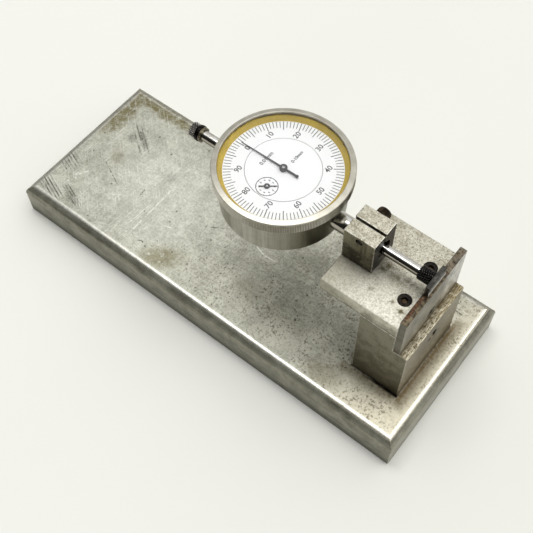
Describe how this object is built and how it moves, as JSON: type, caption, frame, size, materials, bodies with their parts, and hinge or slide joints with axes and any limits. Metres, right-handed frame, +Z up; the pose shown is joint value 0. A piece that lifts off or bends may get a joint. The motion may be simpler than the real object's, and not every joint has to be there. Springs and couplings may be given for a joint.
{
  "type": "dial indicator with stand",
  "caption": "Bench dial gauge: a round dial indicator clamped by its stem on a stepped riser with a steel fence, standing on a heavy flat base plate with rounded edges.",
  "frame": {"origin": "middle of the base plate's underside", "axes": "+Z up, +X along the base towards the riser and the fence, +Y to the back, the side where the clamp screw's head is"},
  "size_m": [0.2176, 0.084, 0.0972],
  "materials": {
    "base_aluminium": "worn, dull and scratched",
    "block_aluminium": "speckled, slightly oxidised",
    "fence_steel": "ground, with rust on its top edge",
    "black_oxide": "black oxide",
    "chrome_steel": "polished",
    "case_nickel": "satin nickel plate",
    "movement_brass": "turned",
    "small_steel": "plain",
    "dial_white": "white enamel with a printed scale",
    "spacer_yellow": "golden yellow",
    "hand_black": "satin black",
    "crystal": "clear acrylic"
  },
  "bodies": {
    "stand": {"base_plate": "base_aluminium", "riser_block": "block_aluminium", "riser_screws": "black_oxide", "top_plate": "block_aluminium", "top_plate_screws": "black_oxide", "fence_plate": "fence_steel", "fence_screw": "black_oxide", "clamp_block": "block_aluminium", "clamp_mount_screws": "black_oxide"},
    "clamp_bolt": {"clamp_screw": "black_oxide"},
    "indicator": {"case_body": "case_nickel", "back_cover": "case_nickel", "back_cover_screws": "small_steel", "stem": "chrome_steel", "rear_bushing": "chrome_steel", "main_plate": "movement_brass", "upper_plate": "movement_brass", "pillars": "movement_brass", "movement_screws": "small_steel", "lower_cock": "movement_brass", "guide_rail": "small_steel", "spring_post": "small_steel", "return_spring": "small_steel", "hairspring": "small_steel", "bezel_ring": "small_steel", "centre_disc": "dial_white"},
    "bezel_group": {"bezel": "case_nickel", "crystal": "crystal", "spacer_ring": "spacer_yellow", "dial_ring": "dial_white"},
    "plunger": {"spindle": "chrome_steel", "guide_pin": "small_steel", "lift_cap": "black_oxide", "stop_ring": "movement_brass", "contact_collar": "black_oxide", "contact_blade": "fence_steel"},
    "rack_train": {"rack_arbor": "small_steel", "rack_wheel": "movement_brass"},
    "centre_train": {"centre_arbor": "small_steel", "pointer": "hand_black"},
    "counter_train": {"counter_arbor": "small_steel", "counter_wheel": "movement_brass", "hairspring_collet": "movement_brass", "counter_hand": "hand_black"}
  },
  "joints": [
    {"name": "stem_slide", "type": "slide", "parent": "stand", "child": "indicator", "axis": [1, 0, 0], "range_m": [-0.002, 0.004]},
    {"name": "clamp_screw_turn", "type": "hinge", "parent": "stand", "child": "clamp_bolt", "pos_m": [0.0611, 0, 0.0894], "axis": [0, 1, 0], "range_deg": [0, 90]},
    {"name": "bezel_turn", "type": "hinge", "parent": "indicator", "child": "bezel_group", "pos_m": [0.01955, 0, 0.0942], "axis": [0, 0, 1], "continuous": true},
    {"name": "spindle_slide", "type": "slide", "parent": "indicator", "child": "plunger", "axis": [-1, 0, 0], "range_m": [0, 0.01], "stiffness_N_per_m": 40, "springref_m": -0.015, "deforming": ["return_spring"]},
    {"name": "rack_wheel_turn", "type": "hinge", "parent": "indicator", "child": "rack_train", "pos_m": [0.00963, -0.00329, 0.0876], "axis": [0, 0, 1], "range_deg": [-2, 362]},
    {"name": "pointer_turn", "type": "hinge", "parent": "indicator", "child": "centre_train", "pos_m": [0.01955, 0, 0.0944], "axis": [0, 0, 1], "range_deg": [-3602, 2]},
    {"name": "counter_turn", "type": "hinge", "parent": "indicator", "child": "counter_train", "pos_m": [0.01955, -0.01045, 0.0888], "axis": [0, 0, 1], "range_deg": [-2, 362], "deforming": ["hairspring"]}
  ],
  "couplings": [
    {"joint": "rack_wheel_turn", "follows": "spindle_slide", "rad_per_m": 628.32},
    {"joint": "pointer_turn", "follows": "spindle_slide", "rad_per_m": -6283.2},
    {"joint": "counter_turn", "follows": "spindle_slide", "rad_per_m": 628.32}
  ]
}
